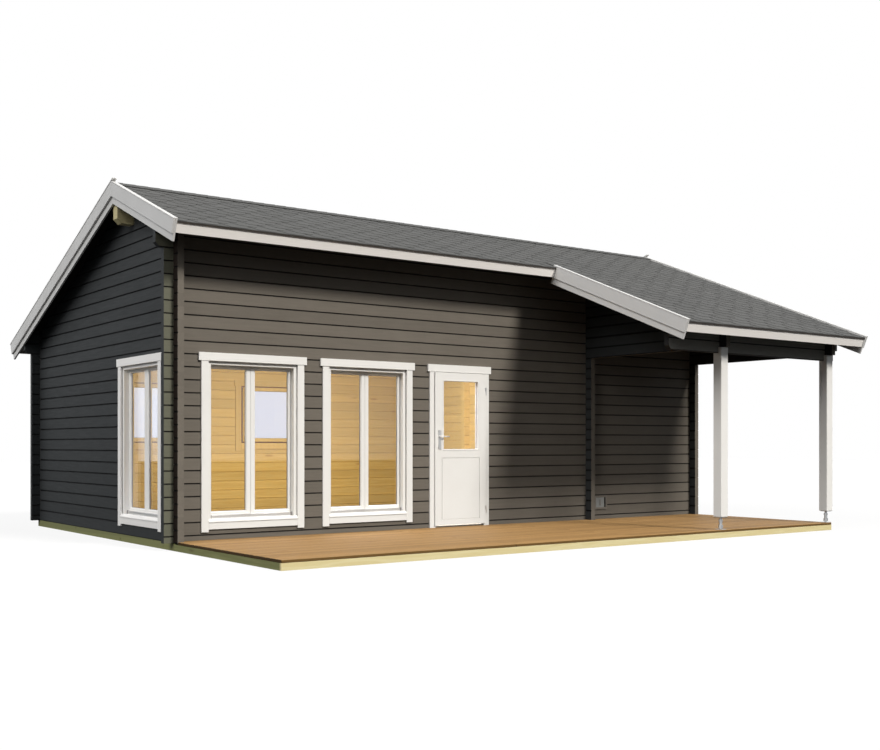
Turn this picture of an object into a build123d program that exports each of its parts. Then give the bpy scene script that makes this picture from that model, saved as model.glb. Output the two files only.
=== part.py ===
from build123d import *
from math import atan, cos, sin, tan
import os

# Log cabin with a covered terrace. X runs along the ridge, to the right as seen from the front.
# Y runs from the front to the back, Z up. The origin is under the ridge at mid-length, at ground level.

# Plan
cabin_length = 7960        # over the outer faces of the two gable walls
cabin_depth = 4488         # over the outer faces of the front and back walls
front_to_ridge = 1135      # from the front wall's outer face to the ridge line
partition_offset = 5830    # from the left gable's outer face to the partition
cross_offset = 2515        # from the front wall's outer face to the cross wall
terrace_depth = 2300       # from the front wall to the terrace's front edge

# Logs
log_width = 70
course = 135               # height that each log adds to a wall
log_end = 105              # how far the logs run past a crossing
groove_depth = 8           # bevels along the edges of a log form a groove at each joint
groove_height = 15
verge_log_gap = 2          # from the end of the top logs to the boards at the roof's end
end_bevel = 45             # bevel under the end of such a log

# Ground frame, floor and terrace
sill_height = 80
sill_width = 95
sill_gap = 1
floor_board = 18
deck_top = 95
deck_board = 28
deck_joist = 45
deck_fascia = 28
deck_bays = 9
board_gap = 2              # from the floor and deck boards to log ends that stand in them

# Roof
ridge_top = 3972
roof_fall = 0.4            # fall for each unit of run
eave_reach = 3795          # from the ridge to the low eaves, level
high_eave_reach = 1695     # from the ridge to the eave over the windows, level
verge_reach = 245          # from a gable wall's outer face to the roof's end
porch_verge_offset = 4795  # from the left gable's outer face to the terrace roof's end
porch_verge_start = 60     # how far up the slope that end's board begins
shingle_layer = 14
roof_board = 28
fascia_height = 115
fascia_thickness = 20
drip_edge = 10             # how far the shingles stand past a fascia
barge_board = 22           # thickness of each of the two boards at a roof end
barge_height = 145
barge_lower = 78           # how much of the inner board shows below the outer one
barge_rise = 6             # how far the boards stand above the shingles
cap_width = 50
cap_thickness = 12
cap_lip = 4
cap_over = 70              # how far a back cap strip runs past the ridge
purlin_width = 120
purlin_depth = 448         # from the ridge's top to the purlin's underside
purlin_end_bevel = 50
purlin_setback = 8

# Terrace posts
post_size = 120
post_gap = 150             # from the deck to the post
foot_plate = 96
foot_plate_thickness = 6
foot_rod = 30
foot_sleeve = 38
foot_nuts = ((18, 36, 56), (96, 22, 50))    # height over the deck, thickness and width of each
beam_lead = 165            # how far the front beam runs left of the terrace roof's end
tie_end_step = 130         # how far the upper tie logs run past the lowest one
tie_courses_left = 2       # least number of courses between the tie logs' underside and the roof
high_verge_courses = 2.4   # least height of the log ends under the roof over the front wall, in courses
low_verge_courses = 1.4    # the same over the back wall

# Windows
pane_width = 404
pane_height = 1516
back_pane_height = 710
pane_top = 1902
pane_thickness = 20
stile = 55                 # width of a sash's bars
sash_cover = 20            # how much of the sash's edge lies behind the frame's lip
sash_depth = 46
sash_corner = 14
window_frame = 55
frame_front = 8
frame_sill = 42            # height of the frame's lower bar
upstand = 12               # thickness of the lip on the lower bar
rail_height = 38           # rain rail in front of that lip, which is as high
rail_depth = 15
rail_bevel = 8
window_casing = 82
inner_casing = 92
casing_overlap = 18
casing_thickness = 20
casing_foot = 27           # how far the side boards run below the sill board
sill_board = 74
sill_overlap = 6
head_height = 87
head_overhang = 30
head_thickness = 26
drip_sill_reach = 34
drip_sill_nose = 16
inner_casing_thickness = 16
inner_overhang = 20
window_centres = (915, 2380)        # from the left gable's outer face
back_window_centres = (1500, 3500)
gable_window_centre = 900           # from the front wall's outer face

# Door
door_centre = 3700         # from the left gable's outer face
door_width = 906           # over the casing
door_casing = 85
door_head_top = 2060
door_head_cover = 35       # how much of the frame the head board covers
jamb = 45
leaf_foot_gap = 10         # over the threshold
leaf_head_gap = 7          # under the head board
lip_overlap = 31.5         # how far the leaf's lip runs past its body at each side
leaf_lip = 15
leaf_body = 40
leaf_gap = 6
lip_gap = 5
door_stop = 12
threshold = 32
door_stile = 119
door_rail = 96             # over and under the pane
door_pane_height = 838
door_pane_thickness = 20
panel_stile = 97
panel_foot = 64            # rail under the panel
panel_recess = 6
lever_height = 1192
lever_offset = 64          # from the leaf's free edge
lever_plate = (40, 6, 232)
lever_plate_drop = 39      # from the spindle down to the plate's middle
lever_plate_gap = 1
lever_reach = 48
lever_length = 118
lever_diameter = 18
spindle_diameter = 9
spindle_hole = 10
hinge_from_foot = 170      # from the leaf's lower edge to the lower hinge's middle
hinge_from_head = 212
hinge_length = 96
hinge_diameter = 16
hinge_pin = 9
hinge_pin_gap = 0.05
hinge_pin_inset = 3        # how far the pin's ends lie inside the hinge's ends
hinge_bore_inset = 2.5
knuckle_gap = 1            # from each knuckle to the hinge's middle
hinge_offset = 10
hinge_proud = 1            # how far the knuckles stand in front of the leaf
hinge_plate = 3
hinge_plate_width = 16

# Inner doorways and wall vent
doorway_width = 800
doorway_top = 2035
doorway_insets = (830, 200)         # from the front wall's and the back wall's inner face
vent_width = 235
vent_height = 185
vent_thickness = 16
vent_rim = 26
vent_centre = (6096, 317)
vent_recess = 13           # how deep the field inside the rim lies
vent_slider_back = 4       # how far the slider's face lies behind the rim's face
vent_slot = 26             # what the slider leaves open
vent_grip = 12

# Places worked out from these sizes
left = -cabin_length / 2
right = cabin_length / 2
front = -front_to_ridge
back = front + cabin_depth
partition = left + partition_offset
cross = front + cross_offset
porch_verge = left + porch_verge_offset
deck_front = front - terrace_depth
post_centre_y = deck_front + post_size / 2
post_tongue = post_size - log_width        # part of the post that stands in front of the beam
slope = atan(roof_fall)
roof_depth = shingle_layer + roof_board
roof_drop = roof_depth / cos(slope)        # from the shingles straight down to the underside
half_course = course / 2
beam_front = deck_front + post_tongue
beam_back = beam_front + log_width
beam_top = ridge_top - roof_drop + roof_fall * beam_front
tie_courses = int((beam_top - sill_height) / course - tie_courses_left)
tie_bottom = sill_height + tie_courses * course
beam_bottom = tie_bottom - half_course
purlin_bottom = ridge_top - purlin_depth
wall_lines = ((left, left + log_width), (partition, partition + log_width), (right - log_width, right))
far = 2 * (cabin_length + cabin_depth)      # past every piece
cut = 1                                    # how far a cut runs past a face


def block(x0, x1, y0, y1, z0, z1):
    return Pos((x0 + x1) / 2, (y0 + y1) / 2, (z0 + z1) / 2) * Box(x1 - x0, y1 - y0, z1 - z0)


def prism(points, axis, start, end):
    # points are (y, z) for a prism along x, and (x, z) for one along y
    if axis == "x":
        corners = [(start, a, b) for a, b in points]
        way = (1, 0, 0)
    else:
        corners = [(a, start, b) for a, b in points]
        way = (0, 1, 0)
    return extrude(make_face(Polyline(*corners, close=True)), amount=end - start, dir=way)


def rod(centre, diameter, length, axis="z"):
    turn = {"x": Rot(0, 90, 0), "y": Rot(90, 0, 0), "z": Rot(0, 0, 0)}[axis]
    return Pos(*centre) * turn * Cylinder(diameter / 2, length)


def roof_underside(y):
    return ridge_top - roof_drop - roof_fall * abs(y)


def joint_levels(axis, bottom, top):
    # logs along x start with half a log, so their joints lie half a course off those along y
    level = sill_height + (half_course if axis == "x" else course)
    levels = []
    while level < top - groove_height:
        if level > bottom + groove_height:
            levels.append(level)
        level += course
    return levels


def log_section(axis, face, bottom, top):
    levels = joint_levels(axis, bottom, top)
    points = [(face, bottom)]
    for z in levels:
        points += [(face, z - groove_height / 2), (face + groove_depth, z), (face, z + groove_height / 2)]
    points += [(face, top), (face + log_width, top)]
    inner = face + log_width
    for z in reversed(levels):
        points += [(inner, z + groove_height / 2), (inner - groove_depth, z), (inner, z - groove_height / 2)]
    points.append((inner, bottom))
    return points


def log_stack(axis, face, start, end, bottom, top):
    return prism(log_section(axis, face, bottom, top), axis, start, end)


def crossing_cuts(axis, x0, y0, bottom, top):
    # at a crossing the logs along x keep the middle half of their height, and those along y the rest
    cuts = []
    level = sill_height - half_course
    while level < top:
        low = level - course / 4 if axis == "x" else level + course / 4
        low, high = max(low, bottom), min(low + half_course, top)
        if high > low:
            cuts.append(block(x0, x0 + log_width, y0, y0 + log_width, low, high))
        level += course
    return cuts


def above_roof():
    points = [(-far, roof_underside(far)), (0, roof_underside(0)), (far, roof_underside(far))]
    points += [(far, far), (-far, far)]
    return prism(points, "x", -far, far)


roof_space = above_roof()


def slope_point(side, s, d):
    # s runs down the slope from the ridge, d square into the roof; side is -1 in front and 1 behind
    return side * (s * cos(slope) - d * sin(slope)), ridge_top - s * sin(slope) - d * cos(slope)


def slope_plate(side, x0, x1, d0, d1, s0, s1):
    # without a start the plate is mitred at the ridge
    first = d0 * tan(slope) if s0 is None else s0
    last = d1 * tan(slope) if s0 is None else s0
    points = [slope_point(side, first, d0), slope_point(side, s1, d0)]
    points += [slope_point(side, s1, d1), slope_point(side, last, d1)]
    return prism(points, "x", x0, x1)


eave_length = eave_reach / cos(slope)
high_eave_length = high_eave_reach / cos(slope)
roof_left = left - verge_reach
roof_right = right + verge_reach
verge_build = cap_lip + 2 * barge_board
verge_log_end = verge_reach - verge_build - verge_log_gap
high_start = high_eave_length - porch_verge_start
slab_left = roof_left + verge_build
slab_right = roof_right - verge_build
slab_porch = porch_verge + verge_build


def roof_slab(side, x0, x1, length):
    boards_end = length - drip_edge - fascia_thickness
    top = slope_plate(side, x0, x1, 0, shingle_layer, None, length)
    boards = slope_plate(side, x0, x1, shingle_layer, roof_depth, None, boards_end)
    return top + boards


def make_roof_front():
    upper = roof_slab(-1, slab_left, slab_porch, high_eave_length)
    upper -= slope_plate(-1, porch_verge, slab_porch, -cut, roof_depth + cut, high_start, eave_length)
    return upper + roof_slab(-1, slab_porch, slab_right, eave_length)


def fascia(side, x0, x1, length):
    end = length - drip_edge
    depth = shingle_layer + fascia_height
    return slope_plate(side, x0, x1, shingle_layer, depth, end - fascia_thickness, end)


def barge(side, outer, inward, start, length):
    # outer is the roof's end, inward is 1 or -1 along x
    def plate(a, b, d0, d1, first):
        x0, x1 = sorted((outer + inward * a, outer + inward * b))
        return slope_plate(side, x0, x1, d0, d1, first, length)

    bottom = barge_height - barge_rise
    board = plate(cap_lip, cap_lip + barge_board, -barge_rise, bottom, start)
    backing = plate(cap_lip + barge_board, verge_build, -barge_rise, bottom + barge_lower, start)
    cap = plate(0, cap_width, -barge_rise - cap_thickness, -barge_rise, -cap_over if side > 0 else start)
    return board + backing + cap


def make_ridge_purlin():
    half = purlin_width / 2
    top = roof_underside(half)
    section = [(-half, purlin_bottom), (half, purlin_bottom), (half, top)]
    section += [(0, roof_underside(0)), (-half, top)]
    tips = (slab_left + purlin_setback, slab_right - purlin_setback)
    purlin = prism(section, "x", *tips)
    for tip, inward in zip(tips, (1, -1)):
        bevel = [(tip, purlin_bottom), (tip + inward * purlin_end_bevel, purlin_bottom)]
        bevel.append((tip, purlin_bottom + purlin_end_bevel))
        purlin -= prism(bevel, "y", -half - cut, half + cut)
    return purlin


ridge_purlin = make_ridge_purlin()


def verge_logs(face, bottom, side):
    # top logs of a wall along x that run on past a gable, with a bevel under the lowest one
    x0 = left - verge_log_end if side < 0 else right
    logs = log_stack("x", face, x0, x0 + verge_log_end, bottom, far / 2)
    tip = x0 if side < 0 else x0 + verge_log_end
    points = [(tip, bottom), (tip - side * end_bevel, bottom), (tip, bottom + end_bevel)]
    return logs - prism(points, "y", face - cut, face + log_width + cut)


def wall_along_x(face, start, end, bottom, lines, ends):
    # ends holds (side, bottom) for each gable that the top logs pass
    wall = log_stack("x", face, start, end, bottom, far / 2)
    for side, level in ends:
        wall += verge_logs(face, level, side)
    wall -= roof_space
    for x0, x1 in lines:
        wall -= crossing_cuts("x", x0, face, bottom, far / 2)
    return wall


def wall_along_y(face, lines):
    wall = log_stack("y", face, front - log_end, back + log_end, sill_height, far / 2)
    for y0 in lines:
        wall -= crossing_cuts("y", face, y0, sill_height, far / 2)
    return wall


def tie_logs(face):
    # logs over the terrace, from the wall to the posts, each course a step longer than the one below
    start = beam_front - log_end
    ties = log_stack("y", face, start, front - log_end, tie_bottom, tie_bottom + course)
    ties += log_stack("y", face, start - tie_end_step, front - log_end, tie_bottom + course, far / 2)
    return ties - crossing_cuts("y", face, beam_front, beam_bottom, far / 2)


def opening_size(height):
    # half the width and the levels of the hole that the frame fills
    half = pane_width + 2 * stile - sash_cover + window_frame
    lip = stile - sash_cover
    return half, pane_top - height - lip - rail_height - frame_sill, pane_top + lip + window_frame


def lip_size(height):
    half, low, high = opening_size(height)
    return half - window_frame, low + frame_sill, high - window_frame


def sash_levels(height):
    return pane_top - height - stile, pane_top + stile


def window_cut(height):
    half, low, high = opening_size(height)
    return block(-half, half, -log_width, 2 * log_width, low, high)


def casing_boards(height, width, sill_top, sill_depth, overhang, faces):
    # faces are those of the boards, of the head board and of the wall behind them
    half, _, high = opening_size(height)
    inner = half - casing_overlap
    outer = inner + width
    head_bottom = high - casing_overlap
    face, head_face, wall_face = faces
    boards = block(-outer - overhang, outer + overhang, *sorted((head_face, wall_face)),
                   head_bottom, head_bottom + head_height)
    boards += block(-inner, inner, *sorted((face, wall_face)), sill_top - sill_depth, sill_top)
    for side in (-1, 1):
        boards += block(*sorted((side * inner, side * outer)), *sorted((face, wall_face)),
                        sill_top - sill_depth - casing_foot, head_bottom)
    return boards


def window_casing_boards(height):
    _, low, high = opening_size(height)
    inside_face = log_width + inner_casing_thickness
    inside_gap = high - casing_overlap - sash_levels(height)[1]
    outside = casing_boards(height, window_casing, low + sill_overlap, sill_board, head_overhang,
                            (-casing_thickness, -head_thickness, 0))
    inside = casing_boards(height, inner_casing, sash_levels(height)[0] - inside_gap, inner_casing,
                           inner_overhang, (inside_face, inside_face, log_width))
    return [outside, inside]


def pane_spans(panes):
    # one wide pane, or one on each side of the middle stiles
    outer = stile + pane_width
    return [(-outer, outer)] if panes == 1 else [(-outer, -stile), (stile, outer)]


def window_frame_solid(height, panes):
    half, low, high = opening_size(height)
    lip_half, lip_low, lip_high = lip_size(height)
    frame = block(-half, half, frame_front, log_width, low, high)
    frame -= block(-lip_half, lip_half, 0, 2 * log_width, lip_low, lip_high)
    frame += block(-lip_half, lip_half, log_width - upstand, log_width, lip_low, lip_low + rail_height)
    sill_top = low + sill_overlap
    drip = [(-drip_sill_reach, sill_top), (frame_front, sill_top), (frame_front, lip_low)]
    drip += [(0, lip_low), (-drip_sill_reach, sill_top + drip_sill_nose)]
    inner = half - casing_overlap
    frame += prism(drip, "x", -inner, inner)
    sash_half = lip_half + sash_cover
    sash_low, sash_high = sash_levels(height)
    outline = RectangleRounded(2 * sash_half, sash_high - sash_low, sash_corner)
    place = Pos(0, log_width, (sash_low + sash_high) / 2) * Rot(-90, 0, 0)
    sash = place * extrude(outline, amount=sash_depth)
    for x0, x1 in pane_spans(panes):
        sash -= block(x0, x1, 0, 2 * log_width, pane_top - height, pane_top)
    return frame + sash


def rain_rail(height):
    # stands on the frame's lower bar, in front of its lip
    lip_half, lip_low, _ = lip_size(height)
    back_face = log_width - upstand
    face = back_face - rail_depth
    top = lip_low + rail_height
    points = [(face, lip_low), (back_face, lip_low), (back_face, top), (face + rail_bevel, top)]
    points.append((face, top - rail_bevel))
    return prism(points, "x", -lip_half, lip_half)


def window_panes(height, panes):
    middle = log_width + sash_depth / 2
    return [block(x0, x1, middle - pane_thickness / 2, middle + pane_thickness / 2,
                  pane_top - height, pane_top) for x0, x1 in pane_spans(panes)]


# Each window is made at the origin, with its wall's outer face on y = 0, and then set in its wall
windows = {}
for number, offset in enumerate(window_centres, 1):
    windows[f"front_window_{number}"] = (Pos(left + offset, front, 0), pane_height, 2)
for number, offset in enumerate(back_window_centres, 1):
    windows[f"back_window_{number}"] = (Pos(left + offset, back, 0) * Rot(0, 0, 180), back_pane_height, 1)
windows["gable_window"] = (Pos(left, front + gable_window_centre, 0) * Rot(0, 0, -90), pane_height, 2)


def door_opening():
    centre = left + door_centre
    half = door_width / 2 - jamb
    return centre - half, centre + half, door_head_top - head_height + door_head_cover


door_left, door_right, door_top = door_opening()
door_x = left + door_centre
half_body = (door_right - door_left) / 2 - jamb - leaf_gap
half_lip = half_body + lip_overlap
leaf_bottom = sill_height + threshold + leaf_foot_gap
leaf_top = door_head_top - head_height - leaf_head_gap
half_pane = half_lip - door_stile
door_pane_top = leaf_top - door_rail
door_pane_bottom = door_pane_top - door_pane_height
lip_back = front - casing_thickness - lip_gap
lip_front = lip_back - leaf_lip
body_back = lip_back + leaf_body
hinge_x = door_x + half_lip + hinge_offset
hinge_y = lip_front + hinge_diameter / 2 - hinge_proud
hinge_heights = (leaf_bottom + hinge_from_foot, leaf_top - hinge_from_head)
spindle_x = door_x - half_lip + lever_offset


def make_door_frame():
    inner_left, inner_right, inner_top = door_left + jamb, door_right - jamb, door_top - jamb
    frame = block(door_left, door_right, front, front + log_width, sill_height, door_top)
    frame -= block(inner_left, inner_right, front - cut, front + log_width + cut,
                   sill_height + threshold, inner_top)
    stop_front = body_back + lip_gap
    stop = block(inner_left, inner_right, stop_front, stop_front + door_stop,
                 sill_height + threshold, inner_top)
    stop -= block(inner_left + door_stop, inner_right - door_stop, front - cut, front + log_width + cut,
                  sill_height, inner_top - door_stop)
    half = door_width / 2
    head_bottom = door_head_top - head_height
    casing = block(door_x - half - head_overhang, door_x + half + head_overhang,
                   front - head_thickness, front, head_bottom, door_head_top)
    for x0 in (door_x - half, door_x + half - door_casing):
        casing += block(x0, x0 + door_casing, front - casing_thickness, front, deck_top, head_bottom)
    return frame + stop + casing


def make_door_leaf():
    body_top = door_top - jamb - leaf_gap
    leaf = block(door_x - half_lip, door_x + half_lip, lip_front, lip_back, leaf_bottom, leaf_top)
    leaf += block(door_x - half_body, door_x + half_body, lip_back, body_back, leaf_bottom, body_top)
    leaf -= block(door_x - half_pane, door_x + half_pane, lip_front - cut, body_back + cut,
                  door_pane_bottom, door_pane_top)
    half_panel = half_lip - panel_stile
    for y0, y1 in ((lip_front - cut, lip_front + panel_recess), (body_back - panel_recess, body_back + cut)):
        leaf -= block(door_x - half_panel, door_x + half_panel, y0, y1,
                      leaf_bottom + panel_foot, door_pane_bottom - door_rail)
    return leaf - rod((spindle_x, lip_back, lever_height), spindle_hole, 2 * (leaf_lip + leaf_body), "y")


def make_door_pane():
    middle = (lip_front + body_back) / 2
    return block(door_x - half_pane, door_x + half_pane, middle - door_pane_thickness / 2,
                 middle + door_pane_thickness / 2, door_pane_bottom, door_pane_top)


def make_lever_plates():
    width, thick, height = lever_plate
    centre_z = lever_height - lever_plate_drop
    plates = []
    for face, way in ((lip_front, -1), (body_back, 1)):
        y0, y1 = sorted((face, face + way * thick))
        plate = block(spindle_x - width / 2, spindle_x + width / 2, y0, y1,
                      centre_z - height / 2, centre_z + height / 2)
        plates.append(plate - rod((spindle_x, face, lever_height), spindle_hole, 2 * (thick + cut), "y"))
    return plates


def make_lever():
    outside = lip_front - lever_reach
    inside = body_back + lever_reach
    lever = rod((spindle_x, (outside + inside) / 2, lever_height), spindle_diameter, inside - outside, "y")
    thick = lever_plate[1]
    for face, tip, way in ((lip_front, outside, -1), (body_back, inside, 1)):
        neck_start = face + way * (thick + lever_plate_gap)
        middle = (neck_start + tip) / 2
        lever += rod((spindle_x, middle, lever_height), lever_diameter, abs(tip - neck_start), "y")
        grip_y = tip - way * lever_diameter / 2
        grip = rod((spindle_x + lever_length / 2, grip_y, lever_height), lever_diameter, lever_length, "x")
        lever += grip + Pos(spindle_x + lever_length, grip_y, lever_height) * Sphere(lever_diameter / 2)
    return lever


def make_hinges():
    # the lower knuckle with its pin is on the casing, the upper one is on the leaf
    fixed, moving = [], []
    half = hinge_length / 2
    casing_face = front - casing_thickness
    for z in hinge_heights:
        low, high = z - knuckle_gap, z + knuckle_gap
        knuckle = half - knuckle_gap
        lower = rod((hinge_x, hinge_y, low - knuckle / 2), hinge_diameter, knuckle)
        lower += rod((hinge_x, hinge_y, z), hinge_pin, hinge_length - 2 * hinge_pin_inset)
        lower += block(hinge_x, hinge_x + hinge_plate_width, casing_face - hinge_plate, casing_face,
                       z - half, low)
        lower += block(hinge_x - hinge_plate / 2, hinge_x + hinge_plate / 2, hinge_y, casing_face,
                       z - half, low)
        fixed.append(lower)
        upper = rod((hinge_x, hinge_y, high + knuckle / 2), hinge_diameter, knuckle)
        upper += block(hinge_x - hinge_plate_width - hinge_offset, hinge_x,
                       lip_front - hinge_plate, lip_front, high, z + half)
        bore = hinge_pin + 2 * hinge_pin_gap
        upper -= rod((hinge_x, hinge_y, z), bore, hinge_length - 2 * hinge_bore_inset)
        moving.append(upper)
    return fixed, moving


def make_post(centre_x):
    half = post_size / 2
    bottom = deck_top + post_gap
    post = block(centre_x - half, centre_x + half, deck_front, deck_front + post_size, bottom, beam_bottom)
    return post + block(centre_x - half, centre_x + half, deck_front, beam_front, bottom, tie_bottom)


def make_post_foot(centre_x):
    half = foot_plate / 2
    top = deck_top + post_gap
    foot = rod((centre_x, post_centre_y, (deck_top + top) / 2), foot_rod, post_gap)
    for z0 in (deck_top, top - foot_plate_thickness):
        foot += block(centre_x - half, centre_x + half, post_centre_y - half, post_centre_y + half,
                      z0, z0 + foot_plate_thickness)
    sleeve_low = foot_nuts[0][0]
    sleeve = foot_nuts[1][0] - sleeve_low
    foot += rod((centre_x, post_centre_y, deck_top + sleeve_low + sleeve / 2), foot_sleeve, sleeve)
    for level, thick, width in foot_nuts:
        nut = extrude(RegularPolygon(width / 2, 6), amount=thick)
        foot += Pos(centre_x, post_centre_y, deck_top + level) * nut
    return foot


def make_foundation():
    # two long beams with the others set between them
    y0, y1 = front + sill_width + sill_gap, back - sill_width - sill_gap
    beams = [block(left, right, front, front + sill_width, 0, sill_height)]
    beams.append(block(left, right, back - sill_width, back, 0, sill_height))
    middle = partition + log_width / 2
    for x0 in (left, middle - sill_width / 2, right - sill_width):
        beams.append(block(x0, x0 + sill_width, y0, y1, 0, sill_height))
    centre = cross + log_width / 2
    beams.append(block(middle + sill_width / 2 + sill_gap, right - sill_width - sill_gap,
                       centre - sill_width / 2, centre + sill_width / 2, 0, sill_height))
    return beams


def make_floor():
    top = sill_height + floor_board
    rooms = [(left + log_width, partition, front + log_width, back - log_width)]
    rooms.append((partition + log_width, right - log_width, front + log_width, cross))
    rooms.append((partition + log_width, right - log_width, cross + log_width, back - log_width))
    boards = [block(x0, x1, y0, y1, sill_height, top) for x0, x1, y0, y1 in rooms]
    boards[0] -= block(partition - log_end - board_gap, partition, cross - board_gap,
                       cross + log_width + board_gap, 0, far)
    return boards


def make_terrace_joists():
    top = deck_top - deck_board
    pitch = (cabin_length - deck_joist) / deck_bays
    lines = [left + number * pitch for number in range(deck_bays + 1)]
    return [block(x0, x0 + deck_joist, deck_front + deck_fascia, front, 0, top) for x0 in lines]


def make_terrace_deck():
    deck = block(left, right, deck_front, front, deck_top - deck_board, deck_top)
    for x0, x1 in wall_lines:
        deck -= block(x0 - board_gap, x1 + board_gap, front - log_end - board_gap, front, 0, far)
    return deck


def make_vent():
    # a rim round a field, with a slider that leaves a slot open at its right end
    x = left + vent_centre[0]
    z = vent_centre[1]
    face = front - vent_thickness
    x0, x1 = x - vent_width / 2, x + vent_width / 2
    z0, z1 = z - vent_height / 2, z + vent_height / 2
    vent = block(x0, x1, face, front, z0, z1)
    vent -= block(x0 + vent_rim, x1 - vent_rim, face - cut, face + vent_recess, z0 + vent_rim, z1 - vent_rim)
    slider_end = x1 - vent_rim - vent_slot
    vent += block(x0 + vent_rim, slider_end, face + vent_slider_back, face + vent_recess,
                  z0 + vent_rim, z1 - vent_rim)
    middle = (x0 + vent_rim + slider_end) / 2
    return vent + block(middle - vent_grip / 2, middle + vent_grip / 2, face, face + vent_slider_back,
                        z0 + 2 * vent_rim, z1 - 2 * vent_rim)


parts = {}
parts["foundation_frame"] = make_foundation()
parts["floor"] = make_floor()
parts["terrace_joists"] = make_terrace_joists()
parts["terrace_fascia"] = block(left, right, deck_front, deck_front + deck_fascia, 0, deck_top - deck_board)
parts["terrace_deck"] = make_terrace_deck()

# Walls along x
high_joint = joint_levels("x", 0, roof_underside(front) - high_verge_courses * course)[-1]
low_joint = joint_levels("x", 0, roof_underside(back) - low_verge_courses * course)[-1]
front_left = wall_along_x(front, left - log_end, door_left, sill_height, wall_lines[:1], [(-1, high_joint)])
front_right = wall_along_x(front, door_right, right + log_end, sill_height, wall_lines[1:], [(1, high_joint)])
over_door = wall_along_x(front, door_left, door_right, door_top, [], [])
back_wall = wall_along_x(back - log_width, left - log_end, right + log_end, sill_height, wall_lines,
                         [(-1, low_joint), (1, low_joint)])
cross_wall = wall_along_x(cross, partition - log_end, right + log_end, sill_height, wall_lines[1:], [])

# Walls along y
crossings = (front, back - log_width)
left_gable = wall_along_y(left, crossings) - roof_space - ridge_purlin
partition_wall = wall_along_y(partition, crossings + (cross,)) + tie_logs(partition)
partition_wall = partition_wall - roof_space - ridge_purlin
right_gable = wall_along_y(right - log_width, crossings + (cross,)) + tie_logs(right - log_width)
right_gable = right_gable - roof_space - ridge_purlin
front_doorway = front + log_width + doorway_insets[0]
back_doorway = back - log_width - doorway_insets[1] - doorway_width
for y0 in (front_doorway, back_doorway):
    partition_wall -= block(partition - cut, partition + log_width + cut, y0, y0 + doorway_width,
                            0, doorway_top)

# Windows, each with its hole in the wall
for name, (place, height, panes) in windows.items():
    hole = place * window_cut(height)
    if name.startswith("front"):
        front_left -= hole
    elif name.startswith("back"):
        back_wall -= hole
    else:
        left_gable -= hole
    parts[f"{name}_casing"] = [place * board for board in window_casing_boards(height)]
    parts[f"{name}_frame"] = place * window_frame_solid(height, panes)
    parts[f"{name}_panes"] = [place * pane for pane in window_panes(height, panes)]
parts["rain_rails"] = [place * rain_rail(height) for place, height, _ in windows.values()]

parts["front_wall_left"] = front_left
parts["front_wall_over_door"] = over_door
parts["front_wall_right"] = front_right
parts["back_wall"] = back_wall
parts["cross_wall"] = cross_wall
parts["left_gable_wall"] = left_gable
parts["partition_wall"] = partition_wall
parts["right_gable_wall"] = right_gable

# Terrace roof's timbers
beam_start = porch_verge + beam_lead
front_beam = log_stack("x", beam_front, beam_start, right + log_end, beam_bottom, beam_bottom + course)
front_beam += log_stack("x", beam_front, beam_start, right + verge_log_end, beam_bottom + course, far / 2)
tip = [(beam_start, beam_bottom), (beam_start + end_bevel, beam_bottom)]
tip.append((beam_start, beam_bottom + end_bevel))
front_beam -= prism(tip, "y", beam_front - cut, beam_back + cut)
front_beam -= roof_space
for x0, x1 in wall_lines[1:]:
    front_beam -= crossing_cuts("x", x0, beam_front, beam_bottom, far / 2)
parts["front_beam"] = front_beam
parts["ridge_purlin"] = ridge_purlin

post_lines = [(x0 + x1) / 2 for x0, x1 in wall_lines[1:]]
for number, centre_x in enumerate(post_lines, 1):
    parts[f"post_{number}"] = make_post(centre_x)
    parts[f"post_foot_{number}"] = make_post_foot(centre_x)

# Roof
parts["roof_front"] = make_roof_front()
parts["roof_back"] = roof_slab(1, slab_left, slab_right, eave_length)
parts["fascia_high"] = fascia(-1, slab_left, porch_verge + cap_lip, high_eave_length)
parts["fascia_low"] = fascia(-1, slab_porch, slab_right, eave_length)
parts["fascia_back"] = fascia(1, slab_left, slab_right, eave_length)
gable_ends = (("left", roof_left, 1, high_eave_length), ("right", roof_right, -1, eave_length))
for name, outer, inward, length in gable_ends:
    behind = barge(1, outer, inward, None, eave_length)
    parts[f"barge_{name}_back"] = behind
    parts[f"barge_{name}_front"] = barge(-1, outer, inward, None, length) - behind
parts["barge_porch"] = barge(-1, porch_verge, 1, high_start, eave_length)

# Door
parts["door_frame"] = make_door_frame()
parts["door_leaf"] = make_door_leaf()
parts["door_pane"] = make_door_pane()
parts["door_lever_plates"] = make_lever_plates()
parts["door_lever"] = make_lever()
parts["hinge_fixed"], parts["hinge_moving"] = make_hinges()
parts["wall_vent"] = make_vent()

os.makedirs("parts", exist_ok=True)
for name, shape in parts.items():
    solids = shape if isinstance(shape, list) else [shape]
    found = [solid for item in solids for solid in item.solids()]
    export_step(Compound(children=found) if len(found) > 1 else found[0], f"parts/{name}.step")
    print(name, len(found), "solids")
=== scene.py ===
import math
import random

import bmesh
import bpy
from mathutils import Matrix, Vector

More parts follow.
